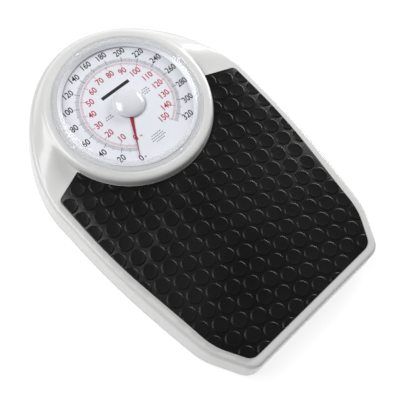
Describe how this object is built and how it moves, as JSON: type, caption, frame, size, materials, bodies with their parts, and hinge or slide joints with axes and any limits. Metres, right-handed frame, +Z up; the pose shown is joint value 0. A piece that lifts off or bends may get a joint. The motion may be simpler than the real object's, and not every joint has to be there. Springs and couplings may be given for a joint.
{
  "type": "mechanical dial platform scale",
  "caption": "Low mechanical floor scale: a pressed white platform with a black disc-ribbed tread mat and a large round dial whose needle turns as the platform is pressed down.",
  "frame": {"origin": "middle of the floor rectangle under the scale, at the feet's lower faces", "axes": "+Z up, +Y from the standing area towards the dial, +X to the right of someone who stands on it facing the dial"},
  "size_m": [0.3084, 0.448, 0.0645],
  "materials": {
    "white_enamel": "satin enamel",
    "mat_rubber": "moulded, semi-gloss",
    "clear_lens": "clear moulded plastic",
    "white_plastic": "gloss",
    "dial_print": "printed, satin",
    "red_enamel": "satin",
    "dark_steel": "galvanised",
    "zinc_steel": "zinc plated",
    "brass": "machined",
    "foot_rubber": "matte",
    "grey_plastic": "moulded"
  },
  "bodies": {
    "base": {"base_tray": "dark_steel", "foot_front_left": "foot_rubber", "foot_front_right": "foot_rubber", "foot_rear_left": "foot_rubber", "foot_rear_right": "foot_rubber", "fulcrum_front_left": "zinc_steel", "fulcrum_front_right": "zinc_steel", "fulcrum_rear_left": "zinc_steel", "fulcrum_rear_right": "zinc_steel", "crank_pin": "zinc_steel", "spring_bracket": "dark_steel", "main_spring": "zinc_steel", "dial_bridge": "dark_steel", "pinion_bearing": "brass", "dial_face": "dial_print", "rack_guide": "zinc_steel", "rod_block": "zinc_steel", "bridge_screw_left": "zinc_steel", "bridge_screw_right": "zinc_steel", "bracket_screw_left": "zinc_steel", "bracket_screw_right": "zinc_steel"},
    "platform": {"platform_cover": "white_enamel", "tread_mat": "mat_rubber", "dial_lens": "clear_lens", "dial_bezel": "white_plastic", "load_bracket_front_left": "zinc_steel", "load_bracket_front_right": "zinc_steel", "load_bracket_rear_left": "zinc_steel", "load_bracket_rear_right": "zinc_steel"},
    "main_lever": {"main_lever": "zinc_steel"},
    "rear_lever": {"rear_lever": "zinc_steel"},
    "bell_crank": {"bell_crank": "zinc_steel"},
    "rack": {"rack": "brass"},
    "pointer": {"pinion_shaft": "brass", "pointer": "red_enamel", "hub_dome": "white_plastic"},
    "zero_adjust": {"zero_wheel": "grey_plastic", "zero_rod": "zinc_steel"},
    "zero_carriage": {"zero_carriage": "zinc_steel"}
  },
  "joints": [
    {"name": "platform_press", "type": "slide", "parent": "base", "child": "platform", "axis": [0, 0, -1], "range_m": [0, 0.0015], "stiffness_N_per_m": 30000, "springref_m": -0.001},
    {"name": "main_lever_pivot", "type": "hinge", "parent": "base", "child": "main_lever", "pos_m": [0, -0.185, 0.022], "axis": [1, 0, 0], "range_deg": [-2.9, 0]},
    {"name": "rear_lever_pivot", "type": "hinge", "parent": "base", "child": "rear_lever", "pos_m": [0, 0.14, 0.022], "axis": [1, 0, 0], "range_deg": [0, 2.9]},
    {"name": "crank_pivot", "type": "hinge", "parent": "base", "child": "bell_crank", "pos_m": [0, 0.08, 0.015], "axis": [1, 0, 0], "range_deg": [0, 26.8]},
    {"name": "rack_slide", "type": "slide", "parent": "base", "child": "rack", "axis": [0, -1, 0], "range_m": [0, 0.0132]},
    {"name": "pointer_turn", "type": "hinge", "parent": "base", "child": "pointer", "pos_m": [0, 0.1076, 0.0513], "axis": [0, 0, -1], "range_deg": [0, 300.5]},
    {"name": "zero_wheel_turn", "type": "hinge", "parent": "base", "child": "zero_adjust", "pos_m": [0, 0.208, 0.016], "axis": [0, 1, 0], "range_deg": [-540, 540]},
    {"name": "zero_carriage_slide", "type": "slide", "parent": "base", "child": "zero_carriage", "axis": [0, 1, 0], "range_m": [-0.00301, 0.00301]}
  ],
  "couplings": [
    {"joint": "main_lever_pivot", "follows": "platform_press", "rad_per_m": -33.333},
    {"joint": "rear_lever_pivot", "follows": "platform_press", "rad_per_m": 33.333},
    {"joint": "crank_pivot", "follows": "platform_press", "rad_per_m": 310.44},
    {"joint": "rack_slide", "follows": "platform_press", "ratio": 8.7267},
    {"joint": "pointer_turn", "follows": "platform_press", "rad_per_m": 3490.7},
    {"joint": "zero_carriage_slide", "follows": "zero_wheel_turn", "m_per_rad": 0.00031831}
  ]
}
